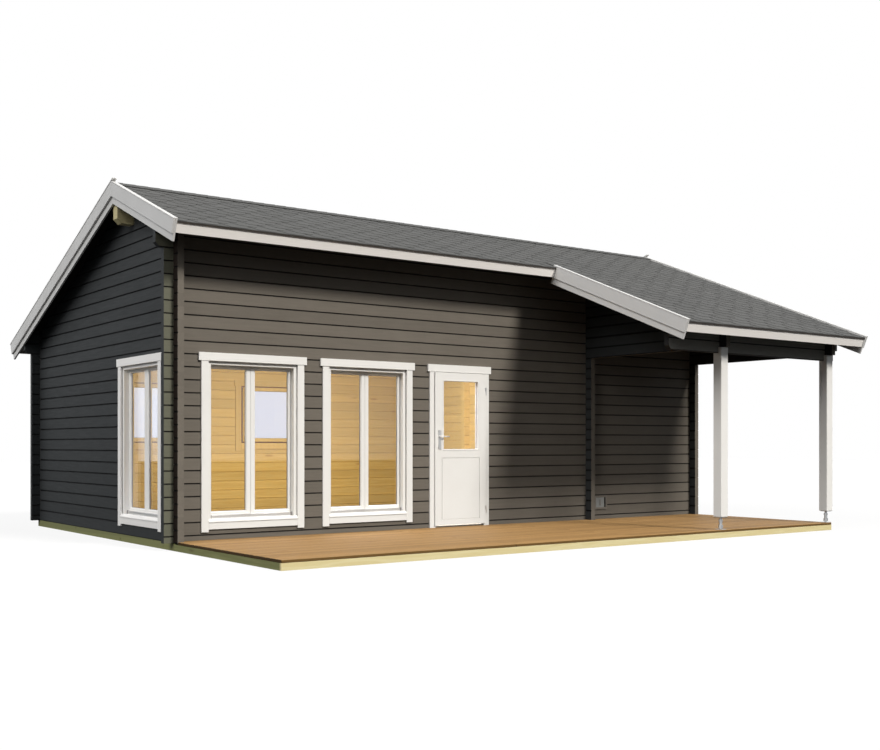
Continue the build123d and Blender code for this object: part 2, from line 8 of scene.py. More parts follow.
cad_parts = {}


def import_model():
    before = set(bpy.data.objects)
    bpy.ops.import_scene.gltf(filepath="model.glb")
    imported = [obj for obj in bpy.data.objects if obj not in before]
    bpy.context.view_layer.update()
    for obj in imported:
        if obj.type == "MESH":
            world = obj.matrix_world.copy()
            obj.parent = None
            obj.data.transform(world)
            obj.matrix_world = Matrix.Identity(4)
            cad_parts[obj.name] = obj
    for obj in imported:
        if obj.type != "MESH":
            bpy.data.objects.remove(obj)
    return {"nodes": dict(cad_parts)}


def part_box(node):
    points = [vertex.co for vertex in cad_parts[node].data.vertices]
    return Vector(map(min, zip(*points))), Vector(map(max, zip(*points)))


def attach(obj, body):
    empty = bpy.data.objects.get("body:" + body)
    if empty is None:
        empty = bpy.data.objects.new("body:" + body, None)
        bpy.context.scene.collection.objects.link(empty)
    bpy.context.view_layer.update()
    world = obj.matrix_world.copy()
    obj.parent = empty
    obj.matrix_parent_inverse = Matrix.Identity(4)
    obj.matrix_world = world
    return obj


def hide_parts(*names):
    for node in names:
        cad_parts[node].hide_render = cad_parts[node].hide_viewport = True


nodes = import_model()["nodes"]
scene = bpy.context.scene
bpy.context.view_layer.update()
draw = random.Random(7)  # one seeded source, so every run gives the same cabin
print("frame loaded:", len(nodes), "nodes")

# Sizes that many pieces share, in metres
build = {
    "logWidth": 0.070,
    "course": 0.135,       # height of one log
    "sillHeight": 0.080,   # ground beams under the logs
    "roofFall": 0.4,       # fall for each unit of run
    "shingleLayer": 0.014,
    "roofBoard": 0.028,
    "casingThickness": 0.020,
}

cabinLeft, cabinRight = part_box("left_gable_wall")[0].x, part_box("right_gable_wall")[1].x
cabinFront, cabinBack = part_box("front_wall_left")[0].y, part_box("back_wall")[1].y
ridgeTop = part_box("roof_back")[1].z


# Mesh building: a shape collects points and faces, and becomes one piece at the end

def newShape():
    return {"points": [], "faces": []}


def addPart(shape, points, faces, place=None):
    first = len(shape["points"])
    for point in points:
        corner = Vector(point)
        shape["points"].append(place @ corner if place else corner)
    for face in faces:
        shape["faces"].append([first + index for index in face])


def easedFaces():
    # three points at each corner of a box, one for each face that meets there
    def at(sx, sy, sz, axis):
        return 3 * (4 * sx + 2 * sy + sz) + axis

    square = ((0, 0), (1, 0), (1, 1), (0, 1))
    faces = []
    for side in (0, 1):
        faces.append([at(side, a, b, 0) for a, b in square])
        faces.append([at(a, side, b, 1) for a, b in square])
        faces.append([at(a, b, side, 2) for a, b in square])
        for other in (0, 1):
            faces.append([at(a, side, other, axis) for a, axis in ((0, 1), (1, 1), (1, 2), (0, 2))])
            faces.append([at(side, a, other, axis) for a, axis in ((0, 0), (1, 0), (1, 2), (0, 2))])
            faces.append([at(side, other, a, axis) for a, axis in ((0, 0), (1, 0), (1, 1), (0, 1))])
            for third in (0, 1):
                faces.append([at(side, other, third, axis) for axis in (0, 1, 2)])
    return faces


boardFaces = easedFaces()


def addBoard(shape, low, high, edge=0.002, place=None):
    # a board with every edge eased
    points = []
    for sx in (0, 1):
        for sy in (0, 1):
            for sz in (0, 1):
                corner = [(low, high)[sx][0], (low, high)[sy][1], (low, high)[sz][2]]
                inward = [edge * (1 - 2 * sx), edge * (1 - 2 * sy), edge * (1 - 2 * sz)]
                for axis in (0, 1, 2):
                    points.append([corner[k] + (0 if k == axis else inward[k]) for k in (0, 1, 2)])
    addPart(shape, points, boardFaces, place)


def bandFaces(count, rings, closed=False):
    # quads between rings of as many points each; closed joins the last ring to the first
    faces = []
    for ring in range(rings if closed else rings - 1):
        here, there = ring * count, (ring + 1) % rings * count
        for k in range(count):
            other = (k + 1) % count
            faces.append([here + k, here + other, there + other, there + k])
    return faces


def endFaces(count, rings):
    return [list(range(count)), list(range((rings - 1) * count, rings * count))]


def addPrism(shape, outline, start, end, place=None):
    # outline holds (x, y) points, and the prism runs from start to end along z
    count = len(outline)
    points = [(x, y, z) for z in (start, end) for x, y in outline]
    addPart(shape, points, endFaces(count, 2) + bandFaces(count, 2), place)


smallestRound = 0.0005
slack = 0.001  # a small step that keeps two faces off one level


def addMitred(shape, rect, widths, profile, place=None, rounds=None):
    # a frame in the local x-z plane with mitred corners
    # profile holds (share, offset, y): share of each member's width, plus an offset, from its outer edge
    # rounds holds the radius of each outer corner, counted round from the lower left one
    x0, x1, z0, z1 = rect
    left, right, bottom, top = widths
    points = []
    for share, offset, y in profile:
        xa, xb = x0 + share * left + offset, x1 - share * right - offset
        za, zb = z0 + share * bottom + offset, z1 - share * top - offset
        for k, (x, z) in enumerate(((xa, za), (xb, za), (xb, zb), (xa, zb))):
            if rounds is None:
                points.append((x, y, z))
                continue
            radius = smallestRound if share else max(rounds[k] - offset, smallestRound)
            middleX, middleZ = x + radius * (1, -1, -1, 1)[k], z + radius * (1, 1, -1, -1)[k]
            for step in range(5):
                angle = math.radians(180 + 90 * k + 22.5 * step)
                points.append((middleX + radius * math.cos(angle), y, middleZ + radius * math.sin(angle)))
    count = len(profile)
    addPart(shape, points, bandFaces(len(points) // count, count, closed=True), place)


def circle(sides):
    return [(math.cos(2 * math.pi * k / sides), math.sin(2 * math.pi * k / sides)) for k in range(sides)]


def addTube(shape, path, radii, sides):
    # a round bar along a list of points in one level, with a radius at each and closed ends
    points = []
    for k, (point, radius) in enumerate(zip(path, radii)):
        before, after = Vector(path[max(k - 1, 0)]), Vector(path[min(k + 1, len(path) - 1)])
        along = (after - before).normalized()
        across = along.cross(Vector((0, 0, 1))).normalized()
        upward = across.cross(along).normalized()
        points += [Vector(point) + radius * (a * across + b * upward) for a, b in circle(sides)]
    addPart(shape, points, endFaces(sides, len(path)) + bandFaces(sides, len(path)))


def addScrewHead(shape, centre, radius, height, sides=8):
    # a low drum with a smaller top
    x, y, z = centre
    points = []
    for size, share in ((1, 0), (1, 0.6), (0.75, 1)):
        for a, b in circle(sides):
            points.append((x + size * radius * a, y + size * radius * b, z + share * height))
    addPart(shape, points, bandFaces(sides, 3) + endFaces(sides, 3))


# turns a prism's outline to y and z, with the prism along x
sideways = Matrix(((0, 0, 1, 0), (1, 0, 0, 0), (0, 1, 0, 0), (0, 0, 0, 1)))


def newObject(name, data):
    made = bpy.data.objects.new(name, data)
    scene.collection.objects.link(made)
    return made


def makePiece(name, shape, material, body="cabin", smooth=False, ease=0):
    mesh = bpy.data.meshes.new(name)
    mesh.from_pydata([tuple(p) for p in shape["points"]], [], shape["faces"])
    work = bmesh.new()
    work.from_mesh(mesh)
    bmesh.ops.recalc_face_normals(work, faces=work.faces)
    if ease:
        bmesh.ops.bevel(work, geom=list(work.edges), offset=ease, segments=1, affect="EDGES", profile=0.5)
    for face in work.faces:
        face.smooth = smooth
    work.to_mesh(mesh)
    work.free()
    piece = newObject(name, mesh)
    piece.data.materials.append(material)
    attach(piece, body)
    return piece


# Materials

def put(tree, kind, sockets={}, **settings):
    # adds a shader node; a socket takes a plain value, an output, or a node for its first output
    made = tree.nodes.new("ShaderNode" + kind)
    for key, value in settings.items():
        setattr(made, key, value)
    for key, value in sockets.items():
        if isinstance(value, bpy.types.Node):
            value = value.outputs[0]
        if isinstance(value, bpy.types.NodeSocket):
            tree.links.new(value, made.inputs[key])
        else:
            made.inputs[key].default_value = value
    return made


def newMaterial(name):
    material = bpy.data.materials.new(name)
    material.use_nodes = True
    material.node_tree.nodes.clear()
    return material, material.node_tree


signs = {"+": "ADD", "-": "SUBTRACT", "*": "MULTIPLY", "/": "DIVIDE", "<": "LESS_THAN", ">": "GREATER_THAN"}


def calc(tree, sign, first, second=0.5):
    return put(tree, "Math", {0: first, 1: second}, operation=signs.get(sign, sign))


def blend(tree, amount, first, second, way="MIX"):
    return put(tree, "Mix", {0: amount, 6: first, 7: second}, data_type="RGBA", blend_type=way).outputs[2]


def scaled(tree, value, low, high, toLow, toHigh):
    ends = {"From Min": low, "From Max": high, "To Min": toLow, "To Max": toHigh}
    return put(tree, "MapRange", {"Value": value, **ends})


def grey(tree, value):
    return put(tree, "CombineColor", {0: value, 1: value, 2: value})


def tinted(tree, colour, value):
    return blend(tree, 1.0, colour, grey(tree, value), "MULTIPLY")


def directions(tree, kind, socket):
    # the x, y and z of a point or a normal
    return put(tree, "SeparateXYZ", {0: put(tree, kind).outputs[socket]}).outputs


def ownPlace(tree, scale=(1, 1, 1)):
    # the piece's own coordinates, in metres
    coords = put(tree, "TexCoord").outputs["Object"]
    return put(tree, "Mapping", {"Vector": coords, "Scale": scale})


def noise(tree, vector, scale, detail=3.0, rough=0.5):
    return put(tree, "TexNoise", {"Vector": vector, "Scale": scale, "Detail": detail, "Roughness": rough})


def finishMaterial(tree, colour, roughness, height, bump, depth, gloss=0.25, metallic=0.0):
    normal = put(tree, "Bump", {"Height": height, "Strength": bump, "Distance": depth})
    sockets = {"Base Color": colour, "Roughness": roughness, "Normal": normal, "Metallic": metallic,
               "Specular IOR Level": gloss}
    put(tree, "OutputMaterial", {"Surface": put(tree, "BsdfPrincipled", sockets)})


grainScale = {"x": (0.6, 9, 9), "y": (9, 0.6, 9), "z": (9, 9, 0.6)}
knotScale = {"x": (1.4, 6, 6), "y": (6, 1.4, 6), "z": (6, 6, 1.4)}


def rgb(red, green, blue):
    return (red, green, blue, 1)


def dimmed(colour, share):
    return [share * part for part in colour[:3]] + [1]


def grainHeight(tree, along):
    # long streaks with finer fibres in them
    vector = ownPlace(tree, grainScale[along])
    streaks = noise(tree, vector, 5, 4, 0.6)
    fibres = noise(tree, vector, 38, 3, 0.65)
    return calc(tree, "+", calc(tree, "*", streaks, 0.6), calc(tree, "*", fibres, 0.4))


def woodColour(tree, along, look):
    # annual rings cut lengthwise, knots, and a tone of its own for each board
    vector = ownPlace(tree, grainScale[along])
    drift = noise(tree, vector, 1.3, 2)
    shifted = put(tree, "VectorMath", {0: vector, 1: (3, 3, 3), 2: drift}, operation="MULTIPLY_ADD")
    wave = {"Vector": shifted, "Scale": 0.9, "Distortion": 5.0, "Detail": 2.0,
            "Detail Scale": 1.5}
    rings = put(tree, "TexWave", wave, wave_type="RINGS", rings_direction=along.upper())
    depth = calc(tree, "*", rings.outputs["Fac"], look["ringDepth"])
    colour = blend(tree, depth, look["light"], look["dark"])
    fibres = noise(tree, vector, 30, 3, 0.7)
    colour = blend(tree, scaled(tree, fibres, 0.35, 0.75, 0, look["fibres"]), colour, look["dark"])
    tone = put(tree, "NewGeometry").outputs["Random Per Island"]
    colour = tinted(tree, colour, scaled(tree, tone, 0, 1, 1 - look["spread"], 1 + look["spread"]))
    knots = put(tree, "TexVoronoi", {"Vector": ownPlace(tree, knotScale[along]), "Scale": 1.0})
    spots = scaled(tree, knots.outputs["Distance"], 0.05, 0.13, look["knots"], 0)
    return blend(tree, spots, colour, look["knot"]), fibres


def woodMaterial(name, along, look, **changes):
    material, tree = newMaterial(name)
    look = {**look, **changes}
    colour, fibres = woodColour(tree, along, look)
    if "edges" in look:
        # painted shade: faces that don't look up take the edge colour, and end faces the still darker end
        # colour
        normal = directions(tree, "NewGeometry", "Normal")
        upper = calc(tree, ">", normal[2], 0.3)
        end = calc(tree, ">", calc(tree, "ABSOLUTE", normal[0]), 0.7)
        colour = blend(tree, upper, look["edges"], colour)
        colour = blend(tree, end, colour, look["ends"])
    if "given" in look:
        passed = put(tree, "LightPath").outputs["Is Diffuse Ray"]
        colour = blend(tree, passed, colour, dimmed(look["light"], look["given"]))
    rough = scaled(tree, fibres, 0.3, 0.7, look["roughness"] - 0.08, look["roughness"] + 0.08)
    finishMaterial(tree, colour, rough, grainHeight(tree, along), look["bump"], 0.002, look["gloss"])
    return material


# Painted logs outside, bare pine inside; the walls' own places say which is which
paint = {
    "paint": rgb(0.128, 0.113, 0.094),
    "worn": rgb(0.148, 0.131, 0.110),
    # painted shade: the flanks of the walls along y, and the log tips' ends, take this much darker copy of
    # the wall paint
    "gable": rgb(0.0265, 0.0286, 0.0295),
    "gableWorn": rgb(0.031, 0.0333, 0.0343),
    "tip": rgb(0.112, 0.112, 0.082),       # ends of the front wall's logs at the left corner
    "deepShade": rgb(0.012, 0.008, 0.006),  # painted shade: near black on the side of the log ends that stand in front of that corner, and in the vent's slot
    "beam": rgb(0.205, 0.200, 0.180),      # painted light: the beam's face, lighter than the wall paint to make up for the terrace roof's shade
    # painted shade: near black on the beam's ends, top and bottom
    "beamEnd": rgb(0.013, 0.0125, 0.012),
    "shadow": {"x": rgb(0.010, 0.009, 0.008), "y": rgb(0.002, 0.002, 0.002)},
    "jointHalf": {"x": 0.0082, "y": 0.011},  # half height of the dark gap between two logs
    "insideJoint": 0.08,   # share of that darkness left on the bare logs inside
    "toneSpread": 0.06,    # how much one log differs from the next
    "beamReach": 0.5,      # further out than this in front of the wall is the beam
    "cornerReach": 0.01,
}
wood = {
    "ringDepth": 0.5,  # how strongly the annual rings show
    "fibres": 0.25,
    "knots": 0.8,
    "spread": 0.12,    # how much one board differs from the next
    "roughness": 0.6,
    "bump": 0.35,
    "gloss": 0.25,
}
pine = dict(wood, light=rgb(0.665, 0.50, 0.182), dark=rgb(0.575, 0.385, 0.10), knot=rgb(0.34, 0.16, 0.04),
            ringDepth=0.4, fibres=0.2, spread=0.05, knots=0.5, roughness=0.5, bump=0.2)


def logLevels(tree, height, along):
    # logs along x start with half a log
    start = build["sillHeight"] - (build["course"] / 2 if along == "x" else 0)
    counted = calc(tree, "/", calc(tree, "-", height, start), build["course"])
    number = calc(tree, "FLOOR", counted)
    part = calc(tree, "-", counted, number)
    fromJoint = calc(tree, "-", 0.5, calc(tree, "ABSOLUTE", calc(tree, "-", part)))
    return number, calc(tree, "*", fromJoint, build["course"])


def insideRooms(tree, x, y):
    half = build["logWidth"] / 2
    inside = 1.0
    for value, low, high in ((x, cabinLeft, cabinRight), (y, cabinFront, cabinBack)):
        inside = calc(tree, "*", inside, calc(tree, ">", value, low + half))
        inside = calc(tree, "*", inside, calc(tree, "<", value, high - half))
    return inside


def frontPaint(tree, x, y, flank, worn):
    # walls along x, with their log ends past the left corner and the beam in front; the log ends' end faces,
    # and those at the back corner, take the gable's painted shade, the beam's face has painted light and its
    # other faces painted shade
    painted = blend(tree, worn, paint["paint"], paint["worn"])
    tip = blend(tree, calc(tree, "<", y, 0), paint["gable"], paint["tip"])
    tip = blend(tree, flank, paint["gable"], tip)
    painted = blend(tree, calc(tree, "<", x, cabinLeft), painted, tip)
    beam = blend(tree, flank, paint["beamEnd"], paint["beam"])
    return blend(tree, calc(tree, "<", y, cabinFront - paint["beamReach"]), painted, beam)


def gablePaint(tree, x, y, flank, worn):
    # walls along y, whose ends show in front; their flanks carry painted shade, a far darker copy of the
    # wall paint, and near-black painted shade on the log ends' sides at the left front corner
    ends = blend(tree, worn, paint["paint"], paint["worn"])
    gable = blend(tree, worn, paint["gable"], paint["gableWorn"])
    before = calc(tree, "<", y, cabinFront)
    corner = calc(tree, "*", before, calc(tree, "<", x, cabinLeft + paint["cornerReach"]))
    return blend(tree, flank, ends, blend(tree, corner, gable, paint["deepShade"]))


def logMaterial(name, along):
    material, tree = newMaterial(name)
    x, y, z = directions(tree, "TexCoord", "Object")
    number, fromJoint = logLevels(tree, z, along)
    tone = put(tree, "TexWhiteNoise", {"W": number}, noise_dimensions="1D").outputs["Value"]
    bright = scaled(tree, tone, 0, 1, 1 - paint["toneSpread"], 1 + paint["toneSpread"])
    grain = grainHeight(tree, along)
    normal = directions(tree, "NewGeometry", "Normal")
    across = calc(tree, "ABSOLUTE", normal[1 if along == "x" else 0])
    flank = calc(tree, ">", across, 0.5)
    worn = scaled(tree, noise(tree, ownPlace(tree), 1.6, 4, 0.6), 0.35, 0.75, 0, 0.7)
    painted = (frontPaint if along == "x" else gablePaint)(tree, x, y, flank, worn)
    painted = tinted(tree, painted, scaled(tree, grain, 0.4, 0.62, 1, 1.12))
    bare, fibres = woodColour(tree, along, pine)
    inside = insideRooms(tree, x, y)
    colour = tinted(tree, blend(tree, inside, painted, bare), bright)
    gap = paint["jointHalf"][along]
    dark = calc(tree, "*", scaled(tree, fromJoint, gap * 0.5, gap * 1.3, 1, 0), flank)
    dark = calc(tree, "*", dark, scaled(tree, inside, 0, 1, 1, paint["insideJoint"]))
    colour = blend(tree, dark, colour, paint["shadow"][along])
    rough = scaled(tree, grain, 0.35, 0.65, 0.5, 0.66)
    finishMaterial(tree, colour, rough, grain, 0.35, 0.0015, gloss=0.12)
    return material


def paintMaterial(name, along, colour, shade, roughness=0.42, bump=0.18, gloss=0.3):
    # an opaque paint that still shows a little of the grain and the brush
    material, tree = newMaterial(name)
    grain = grainHeight(tree, along)
    patches = noise(tree, ownPlace(tree), 3.0, 4, 0.6)
    mixed = blend(tree, scaled(tree, patches, 0.3, 0.75, 0, 0.6), colour, shade)
    mixed = blend(tree, scaled(tree, grain, 0.55, 0.7, 0, 0.3), mixed, shade)
    rough = scaled(tree, patches, 0.3, 0.7, roughness - 0.06, roughness + 0.08)
    finishMaterial(tree, mixed, rough, grain, bump, 0.001, gloss)
    return material


logsAlongX = logMaterial("painted_logs_x", "x")
logsAlongY = logMaterial("painted_logs_y", "y")
white = (rgb(0.755, 0.745, 0.722), rgb(0.715, 0.70, 0.672))
cream = (rgb(0.94, 0.905, 0.868), rgb(0.90, 0.865, 0.828))
whiteAlongX = paintMaterial("white_paint_x", "x", *white)
# painted light: the gable window's white is lighter than the other whites to make up for the shade on the
# gable side
gableWhite = paintMaterial("gable_white_paint", "z", rgb(0.90, 0.89, 0.87), rgb(0.87, 0.855, 0.83))
whiteAlongZ = paintMaterial("white_paint_z", "z", *white)
fasciaPaint = paintMaterial("fascia_paint", "x", *cream, roughness=0.5)
bargePaint = paintMaterial("barge_paint", "y", rgb(0.61, 0.605, 0.595), rgb(0.575, 0.57, 0.56))
# painted shade: the roof boards' near black stands for the shade under the eaves and the terrace roof
undersideShade = paintMaterial("underside_painted_shade", "y", rgb(0.014, 0.012, 0.010), rgb(0.022, 0.019, 0.015),
                          roughness=0.6, bump=0.3, gloss=0.1)

# edges and ends are painted shade: darker colours for the boards' sides, undersides and end faces; given
# is the share of the light colour that the deck throws on what stands round it
deckWood = woodMaterial(
    "deck_wood", "x", wood, light=rgb(0.345, 0.208, 0.087), dark=rgb(0.228, 0.124, 0.042),
    knot=rgb(0.11, 0.05, 0.02), ringDepth=0.55, fibres=0.35, spread=0.17, knots=0.6, bump=0.4, gloss=0.1,
    edges=rgb(0.13, 0.075, 0.025), ends=rgb(0.05, 0.03, 0.012), given=0.2)
floorWood = woodMaterial("floor_wood", "x", pine, light=rgb(0.46, 0.34, 0.145), dark=rgb(0.38, 0.25, 0.085),
                         spread=0.10)
fasciaWood = woodMaterial(
    "terrace_fascia_wood", "x", wood, light=rgb(0.66, 0.585, 0.34), dark=rgb(0.57, 0.47, 0.22),
    knot=rgb(0.25, 0.13, 0.04), fibres=0.2, spread=0.04, knots=0.85)
treatedLook = dict(wood, light=rgb(0.215, 0.22, 0.095), dark=rgb(0.145, 0.155, 0.06),
                   knot=rgb(0.10, 0.09, 0.04), ringDepth=0.6, spread=0.08, roughness=0.65)
treatedWood = woodMaterial("treated_wood_y", "y", treatedLook)
treatedWoodX = woodMaterial("treated_wood_x", "x", treatedLook)
purlinWood = woodMaterial(
    "purlin_wood", "x", wood, light=rgb(0.62, 0.56, 0.33), dark=rgb(0.45, 0.38, 0.18),
    knot=rgb(0.2, 0.12, 0.04), ringDepth=0.7, spread=0.02, roughness=0.65)
pineTrim = woodMaterial("pine_trim", "z", pine, spread=0.08)


def shingleMaterial():
    # mineral granules on felt, with each tab a little lighter or darker
    material, tree = newMaterial("shingled_roof")
    tone = put(tree, "NewGeometry").outputs["Random Per Island"]
    vector = ownPlace(tree)
    grit = put(tree, "TexVoronoi", {"Vector": vector, "Scale": 420})
    speck = put(tree, "TexWhiteNoise", {"Vector": grit.outputs["Position"]}, noise_dimensions="3D")
    cloud = noise(tree, vector, 1.1, 3, 0.6)
    base = blend(tree, scaled(tree, tone, 0, 1, 0, 0.8), rgb(0.073, 0.074, 0.073), rgb(0.095, 0.096, 0.095))
    base = blend(tree, scaled(tree, cloud, 0.3, 0.7, 0, 0.5), base, rgb(0.092, 0.092, 0.089))
    mixed = blend(tree, scaled(tree, speck.outputs["Value"], 0, 1, 0, 0.3), base, rgb(0.17, 0.17, 0.17))
    finishMaterial(tree, mixed, 0.92, grit.outputs["Distance"], 0.5, 0.001, gloss=0.1)
    return material


def metalMaterial(name, colour, roughness, metallic=1.0, grainy=180):
    material, tree = newMaterial(name)
    vector = ownPlace(tree)
    spots = noise(tree, vector, grainy, 3, 0.6)
    mixed = blend(tree, scaled(tree, spots, 0.35, 0.65, 0, 1), colour, dimmed(colour, 0.82))
    rough = scaled(tree, spots, 0.3, 0.7, roughness - 0.06, roughness + 0.08)
    finishMaterial(tree, mixed, rough, spots, 0.12, 0.0005, gloss=0.5, metallic=metallic)
    return material


def glassMaterial():
    # clear panes: what is behind shows straight through, and the front mirrors a little
    material, tree = newMaterial("window_glass")
    clear = put(tree, "BsdfTransparent", {"Color": rgb(0.963, 0.967, 0.984)})
    mirror = put(tree, "BsdfGlossy", {"Color": rgb(1, 1, 1), "Roughness": 0.02})
    edge = put(tree, "Fresnel", {"IOR": 1.52})
    outer = calc(tree, "-", 1.0, put(tree, "NewGeometry").outputs["Backfacing"])
    amount = calc(tree, "*", edge, outer)
    mixed = put(tree, "MixShader", {0: amount, 1: clear, 2: mirror})
    put(tree, "OutputMaterial", {"Surface": mixed})
    return material


shingleFelt = shingleMaterial()
glassPane = glassMaterial()
galvanised = metalMaterial("galvanised_steel", rgb(0.55, 0.56, 0.57), 0.48)
satinSteel = metalMaterial("satin_steel", rgb(0.74, 0.73, 0.71), 0.35)
darkMetal = metalMaterial("dark_metal", rgb(0.055, 0.045, 0.038), 0.5, 0.0)
screwMetal = metalMaterial("screw_heads", rgb(0.16, 0.13, 0.10), 0.45)
# painted shade: brown for the shade deep in the groove round each sash
grooveShade = metalMaterial("groove_painted_shade", rgb(0.26, 0.115, 0.03), 0.7, 0.0)
capPlastic = metalMaterial("rail_cap_plastic", rgb(0.20, 0.19, 0.18), 0.5, 0.0)
spacerMetal = metalMaterial("spacer_bar", rgb(0.35, 0.35, 0.36), 0.5)


vent = {"rim": 0.003, "slot": 0.008}  # depths from the vent's face where the paint ends and where the slot's painted shade starts


def ventMaterial(face):
    # the rim and the grip are painted like the wall, the slider is bare, and the slot beside it has painted
    # shade, near black
    material, tree = newMaterial("vent_plastic")
    depth = directions(tree, "TexCoord", "Object")[1]
    spots = noise(tree, ownPlace(tree), 90, 3, 0.6)
    bare = blend(tree, spots, rgb(0.20, 0.205, 0.20), rgb(0.26, 0.265, 0.26))
    colour = blend(tree, calc(tree, "<", depth, face + vent["rim"]), bare, paint["worn"])
    colour = blend(tree, calc(tree, ">", depth, face + vent["slot"]), colour, paint["deepShade"])
    finishMaterial(tree, colour, 0.5, spots, 0.12, 0.0005)
    return material


print("materials made")


def paintNodes(material, *names):
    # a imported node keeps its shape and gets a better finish
    for name in names:
        slots = nodes[name].data.materials
        for index in range(len(slots)):
            slots[index] = material
        if not slots:
            slots.append(material)


paintNodes(logsAlongX, "front_wall_left", "front_wall_over_door", "front_wall_right", "back_wall",
           "cross_wall", "front_beam")
paintNodes(logsAlongY, "left_gable_wall", "partition_wall", "right_gable_wall")
paintNodes(purlinWood, "ridge_purlin")
paintNodes(treatedWoodX, "foundation_frame")
paintNodes(treatedWood, "terrace_joists")
paintNodes(fasciaWood, "terrace_fascia")
paintNodes(fasciaPaint, "fascia_high", "fascia_low", "fascia_back")
paintNodes(whiteAlongZ, "door_frame", "door_leaf")
paintNodes(galvanised, "post_foot_1", "post_foot_2")
paintNodes(satinSteel, "rain_rails", "hinge_fixed", "hinge_moving", "door_lever", "door_lever_plates")
paintNodes(ventMaterial(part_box("wall_vent")[0].y), "wall_vent")

# Roof: boards that run down each slope, felt, rows of shingle tabs, a capped ridge and edge strips
roof = {
    "boardWidth": 0.121, "boardEdge": 0.003,
    "boardGap": 0.0004,    # half the gap between two boards
    "feltTop": 0.0126,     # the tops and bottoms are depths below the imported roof's top
    "feltBottom": 0.0139, "feltEdge": 0.0004, "feltStart": 0.002, "feltShort": 0.004,
    "stripTop": 0.0125, "stripThickness": 0.0015, "stripReach": 0.10,
    "lip": 0.0255,         # depth that the strip's front edge is folded down to
    "starter": 0.13,       # width of the straight strip under the lowest row
    "starterInset": 0.0005, "starterTop": (0.0048, 0.0090),
    "tabWidth": 0.333, "tabGap": 0.0008, "tabWobble": 0.002,
    "tabCut": 0.075,       # how much each lower corner of a tab is cut away
    "tabShift": 0.11,      # how far a row may lie from the half-tab bond, as a share of a tab
    "rowsToHighEave": 16,  # rows between the low eaves and the high one
    "shingle": 0.004, "shortestTab": 0.01,
    "lift": 0.0005,        # the shingles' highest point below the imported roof's top
    "capWidth": 0.14, "capStep": 0.145, "capLength": 0.20, "capLift": (0.0095, 0.005), "shortestCap": 0.02,
    "overhang": 0.030,     # the fascia and the shingles' reach past it
    "drip": 0.010,
    "porchStart": 0.060,   # how far above the high eave the terrace roof's end board starts
}
slopeCos = 1 / math.hypot(1, build["roofFall"])
slopeSin = build["roofFall"] * slopeCos
roofLow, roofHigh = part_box("roof_front")
slabLeft, slabRight = roofLow.x, roofHigh.x
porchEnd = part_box("barge_porch")[0].x
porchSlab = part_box("fascia_low")[0].x
eaveLength = -roofLow.y / slopeCos
highFace = -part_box("fascia_high")[0].y  # the high fascia's top edge, level from the ridge
highLength = (highFace + build["shingleLayer"] * slopeSin) / slopeCos + roof["drip"]
rowDepth = (eaveLength - highLength) / roof["rowsToHighEave"]


def slopeFrame(side):
    # local x along the ridge, y down the slope, z square out of the roof
    return Matrix(((1, 0, 0, 0), (0, side * slopeCos, side * slopeSin, 0),
                   (0, -slopeSin, slopeCos, ridgeTop), (0, 0, 0, 1)))


def trimmed(outline, axis, limit, keepAbove):
    # the part of an outline on one side of a line
    kept = []
    for k, here in enumerate(outline):
        before = outline[k - 1]
        hereIn = here[axis] >= limit if keepAbove else here[axis] <= limit
        beforeIn = before[axis] >= limit if keepAbove else before[axis] <= limit
        if hereIn != beforeIn:
            share = (limit - before[axis]) / (here[axis] - before[axis])
            kept.append([before[i] + share * (here[i] - before[i]) for i in (0, 1)])
        if hereIn:
            kept.append(list(here))
    return kept


def addTab(shape, outline, butt, place):
    # a tab leans on the row below it
    points = []
    for thick in (0, roof["shingle"]):
        for x, down in outline:
            points.append((x, down, -roof["lift"] - roof["shingle"] * (butt - down) / rowDepth - thick))
    addPart(shape, points, endFaces(len(outline), 2) + bandFaces(len(outline), 2), place)


def addShingles(shape, side, x0, x1, lowest, highest):
    # rows are counted up from the low eaves, so both eaves end on a whole row
    place = slopeFrame(side)
    row = 0
    butt = eaveLength
    while butt > highest + roof["shortestTab"]:
        if butt <= lowest + slack:
            shift = 0.5 * (row % 2) + draw.uniform(-roof["tabShift"], roof["tabShift"])
            first = math.floor(x0 / roof["tabWidth"] - shift) - 1
            count = int((x1 - x0) / roof["tabWidth"]) + 4
            for number in range(first, first + count):
                a = (number + shift) * roof["tabWidth"] + roof["tabGap"]
                b = a + roof["tabWidth"] - 2 * roof["tabGap"]
                tip = butt + draw.uniform(-roof["tabWobble"], roof["tabWobble"])
                outline = [(a, butt - 2 * rowDepth), (b, butt - 2 * rowDepth), (b, butt - rowDepth),
                           (b - roof["tabCut"], tip), (a + roof["tabCut"], tip), (a, butt - rowDepth)]
                outline = trimmed(trimmed(outline, 0, x0, True), 0, x1, False)
                outline = trimmed(trimmed(outline, 1, highest, True), 1, lowest, False)
                if len(outline) > 2:
                    addTab(shape, outline, butt, place)
        butt -= rowDepth
        row += 1


def roofBoards(name, replaced, side, spans):
    boards = newShape()
    place = slopeFrame(side)
    top, bottom = -build["shingleLayer"], -build["shingleLayer"] - build["roofBoard"]
    for x0, x1, length in spans:
        count = max(1, round((x1 - x0) / roof["boardWidth"]))
        pitch = (x1 - x0) / count
        start = -bottom * slopeSin / slopeCos
        for number in range(count):
            low = (x0 + number * pitch + roof["boardGap"], start, bottom)
            high = (x0 + (number + 1) * pitch - roof["boardGap"], length - roof["overhang"], top)
            addBoard(boards, low, high, roof["boardEdge"], place)
    piece = makePiece(name, boards, undersideShade)
    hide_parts(replaced)


